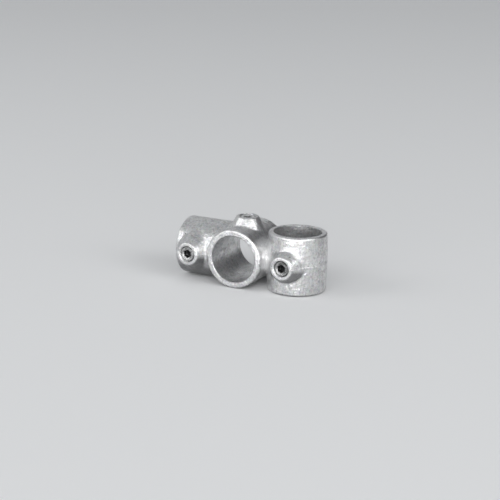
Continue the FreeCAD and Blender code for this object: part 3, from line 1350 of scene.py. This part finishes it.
@dataclass(frozen=True)
class ZincPlate:
    """Zinc plating on a steel screw, scratched by its key."""

    name: str
    bright: Colour
    worn: Colour
    # The colour of the painted shade inside the hexagon socket
    recess_shade_colour: Colour = (0.015, 0.015, 0.016, 1)
    worn_roughness: float = 0.42
    bright_roughness: float = 0.26
    scuff_mm: float = 0.2

    @classmethod
    def on(cls, side: Side) -> ZincPlate:
        """Return the plating of one screw: handling has left some darker than others.

        Args:
            side: The collar that the screw stands on.

        Returns:
            The finish.
        """
        greys = {Side.UPRIGHT: (0.5, 0.11), Side.CROSSOVER: (0.92, 0.55), Side.SOCKET: (0.6, 0.2)}
        bright, worn = greys[side]
        return cls(
            f"{side.value}_zinc_steel", bright=(bright, bright, bright, 1),
            worn=(worn, worn, worn, 1))

    def material(self) -> bpy.types.Material:
        """Return the node material."""
        recipe = Recipe(self.name)
        haze = recipe.spread(recipe.speckle(0.45, 4, 0.7, 0.6), 0.38, 0.6)
        plate = recipe.mix(haze, self.worn, self.bright)
        # Painted shade inside the hexagon socket
        colour = recipe.mix(recipe.mark("recess_shade"), plate, self.recess_shade_colour)
        rough = recipe.spread(haze, 0.0, 1.0, self.worn_roughness, self.bright_roughness)
        normal = recipe.relief(recipe.speckle(1.2, 3), 0.6, self.scuff_mm)
        return recipe.metal(colour, rough, normal)


# The studio

def towards(azimuth: float, elevation: float) -> Vector:
    """Return the direction from the part to a viewpoint or a lamp.

    Args:
        azimuth: The turn from the front, which is -Y, towards +X, in degrees.
        elevation: The height above the level, in degrees.

    Returns:
        The direction, of length 1.
    """
    turn, rise = math.radians(azimuth), math.radians(elevation)
    return Vector((
        math.sin(turn) * math.cos(rise), -math.cos(turn) * math.cos(rise), math.sin(rise)))


@dataclass(frozen=True)
class Camera:
    """The photograph's viewpoint: direction, distance, and where the origin shows."""

    azimuth: float = 26.41
    elevation: float = 15.67
    roll: float = 1.21
    distance: float = 1338.84
    focal_pixels: float = 1304.76
    frame_pixels: float = 500.0
    origin_pixel: tuple[float, float] = (297.13, 259.94)
    sensor_mm: float = 36.0

    def place(self) -> None:
        """Stand the camera in the scene and make it the scene's own."""
        turn, roll = math.radians(self.azimuth), math.radians(self.roll)
        back = towards(self.azimuth, self.elevation)
        level = Vector((math.cos(turn), math.sin(turn), 0))
        upright = back.cross(level)
        right = math.cos(roll) * level + math.sin(roll) * upright
        up = math.cos(roll) * upright - math.sin(roll) * level
        half = self.frame_pixels / 2
        shift_x = (self.origin_pixel[0] - half) / self.focal_pixels * self.distance
        shift_y = (half - self.origin_pixel[1]) / self.focal_pixels * self.distance
        spot = back * self.distance - right * shift_x - up * shift_y
        data = bpy.data.cameras.new("camera")
        data.sensor_width = self.sensor_mm
        data.lens = self.focal_pixels / self.frame_pixels * self.sensor_mm
        data.clip_end = 100.0
        camera = linked("camera", data)
        camera.matrix_world = Matrix.Translation(spot * METRES_PER_MM) @ Matrix(
            (right, up, back)).transposed().to_4x4()
        bpy.context.scene.camera = camera


@dataclass(frozen=True)
class Lamp:
    """A softbox that looks at the part's middle."""

    name: str
    azimuth: float
    elevation: float
    distance: float
    width: float
    height: float
    power: float

    def place(self, target: Vector) -> None:
        """Hang the lamp.

        Args:
            target: The point that it looks at, in metres.
        """
        way = towards(self.azimuth, self.elevation)
        data = bpy.data.lights.new(self.name, "AREA")
        data.shape = "RECTANGLE"
        data.size = self.width
        data.size_y = self.height
        data.energy = self.power
        lamp = linked(self.name, data)
        lamp.visible_camera = False
        lamp.matrix_world = Matrix.Translation(target + way * self.distance) @ (
            way.to_track_quat("Z", "Y").to_matrix().to_4x4())


@dataclass(frozen=True)
class SkyPatch:
    """A part of the sky of its own brightness, with soft edges.

    Its edges are given as the cosine of the angle from its middle, and its top as the height of
    a direction of length 1.
    """

    colour: Colour
    way: tuple[float, float, float]
    edge: tuple[float, float]
    top: tuple[float, float]

    def share(self, tree: bpy.types.NodeTree, ways: bpy.types.NodeSocket
              ) -> bpy.types.NodeSocket:
        """Return how much of the patch shows in each direction.

        Args:
            tree: The sky's nodes.
            ways: The direction looked in.

        Returns:
            The share, from 0 to 1.
        """
        nearness = tree.nodes.new("ShaderNodeVectorMath")
        nearness.operation = "DOT_PRODUCT"
        nearness.inputs[1].default_value = Vector(self.way).normalized()
        rise = tree.nodes.new("ShaderNodeSeparateXYZ")
        tree.links.new(ways, nearness.inputs[0])
        tree.links.new(ways, rise.inputs[0])
        both = tree.nodes.new("ShaderNodeMath")
        both.operation = "MULTIPLY"
        for index, (value, limits) in enumerate((
                (nearness.outputs["Value"], self.edge), (rise.outputs["Z"], self.top))):
            fade = tree.nodes.new("ShaderNodeMapRange")
            fade.interpolation_type = "SMOOTHSTEP"
            for socket, limit in zip(("From Min", "From Max"), limits):
                fade.inputs[socket].default_value = limit
            tree.links.new(value, fade.inputs["Value"])
            tree.links.new(fade.outputs["Result"], both.inputs[index])
        return both.outputs[0]


@dataclass(frozen=True)
class Studio:
    """A pale floor, a pale sky with a dim and a bright part, soft lamps and the camera."""

    floor_colour: Colour = (0.87, 0.875, 0.88, 1)
    floor_roughness: float = 0.9
    sky_colour: Colour = (0.49, 0.50, 0.51, 1)
    sky_patches: tuple[SkyPatch, ...] = (
        SkyPatch(colour=(0.10, 0.10, 0.105, 1), way=(0.59, 0.73, 0.34), edge=(0.62, 0.89),
                 top=(2.0, 1.0)),
        SkyPatch(colour=(6.6, 6.6, 6.6, 1), way=(0.208, -0.978, 0.0), edge=(0.72, 0.88),
                 top=(0.18, 0.1)),
    )
    floor_half: float = 20.0
    middle: tuple[float, float, float] = (-0.048, 0.0, 0.0)
    lamps: tuple[Lamp, ...] = (
        Lamp("front_lamp", azimuth=20, elevation=28, distance=4.2, width=6.0, height=2.4,
             power=51.0),
        Lamp("right_lamp", azimuth=76, elevation=28, distance=3.9, width=2.1, height=1.8,
             power=34.0),
        Lamp("left_lamp", azimuth=-50, elevation=30, distance=3.9, width=1.8, height=1.5,
             power=21.5),
    )

    def floor(self, height: float) -> None:
        """Lay the floor.

        Args:
            height: Its height in metres.
        """
        shape = bmesh.new()
        bmesh.ops.create_grid(
            shape, x_segments=1, y_segments=1, size=self.floor_half,
            matrix=Matrix.Translation((0, 0, height)))
        mesh = bpy.data.meshes.new("floor")
        shape.to_mesh(mesh)
        shape.free()
        floor = linked("floor", mesh)
        recipe = Recipe("floor_paint")
        recipe.shader.inputs["Base Color"].default_value = self.floor_colour
        recipe.shader.inputs["Roughness"].default_value = self.floor_roughness
        mesh.materials.append(recipe.material)
        floor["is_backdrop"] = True

    def sky(self) -> bpy.types.World:
        """Return a pale sky, dim behind as at a studio's open side, and bright low in front."""
        world = bpy.data.worlds.new("sky")
        world.use_nodes = True
        tree = world.node_tree
        ways = tree.nodes.new("ShaderNodeTexCoord").outputs["Generated"]
        colour = tree.nodes.new("ShaderNodeRGB").outputs[0]
        colour.default_value = self.sky_colour
        for patch in self.sky_patches:
            mixed = tree.nodes.new("ShaderNodeMixRGB")
            mixed.inputs["Color2"].default_value = patch.colour
            tree.links.new(patch.share(tree, ways), mixed.inputs["Fac"])
            tree.links.new(colour, mixed.inputs["Color1"])
            colour = mixed.outputs["Color"]
        tree.links.new(colour, tree.nodes["Background"].inputs["Color"])
        return world

    def build(self, lowest: float) -> None:
        """Set up the floor, the sky, the lamps and the camera.

        Args:
            lowest: The height of the part's lowest point, in metres.
        """
        self.floor(lowest)
        bpy.context.scene.world = self.sky()
        for lamp in self.lamps:
            lamp.place(Vector(self.middle))
        Camera().place()
        bpy.context.scene.view_settings.view_transform = "Standard"


def main() -> None:
    """Build every piece and the studio, and log each piece."""
    logging.basicConfig(level=logging.INFO, format="%(message)s")
    solid_box = [list(corner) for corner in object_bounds()]
    sizes = Sizes()
    Casting(sizes).build(Galvanising().material())
    for side in Side:
        SetScrew(sizes, side).build(ZincPlate.on(side).material())
    seen_box = [list(corner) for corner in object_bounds()]
    Studio().build(min(solid_box[0][2], seen_box[0][2]))


if __name__ == "__main__":
    main()
